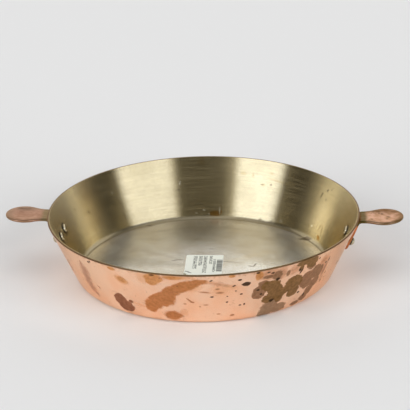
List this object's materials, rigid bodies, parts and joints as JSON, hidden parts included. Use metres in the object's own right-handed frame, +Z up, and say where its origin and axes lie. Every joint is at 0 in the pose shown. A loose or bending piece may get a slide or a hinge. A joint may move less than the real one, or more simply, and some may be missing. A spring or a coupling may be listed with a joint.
{
  "type": "tarte tatin pan",
  "caption": "Low round copper baking pan with flared wall, steel lining, spoon-shaped riveted copper side handles and a paper label on the floor.",
  "frame": {"origin": "centre of the underside, on the surface that the pan stands on", "axes": "+Z up along the pan's axis, +X through both handles towards the right one, +Y away from the viewer"},
  "size_m": [0.3568, 0.28, 0.056],
  "materials": {
    "shell_copper": null,
    "lining_steel": "finely brushed round the pan",
    "handle_copper": "cast and tumbled copper, a little pitted",
    "rivet_metal": "polished heads",
    "label_paper": null
  },
  "bodies": {
    "root": {"copper_shell": "shell_copper", "steel_lining": "lining_steel", "handle_left": "handle_copper", "handle_right": "handle_copper", "rivet_left_front": "rivet_metal", "rivet_left_back": "rivet_metal", "rivet_right_front": "rivet_metal", "rivet_right_back": "rivet_metal", "paper_label": "label_paper"}
  },
  "joints": []
}
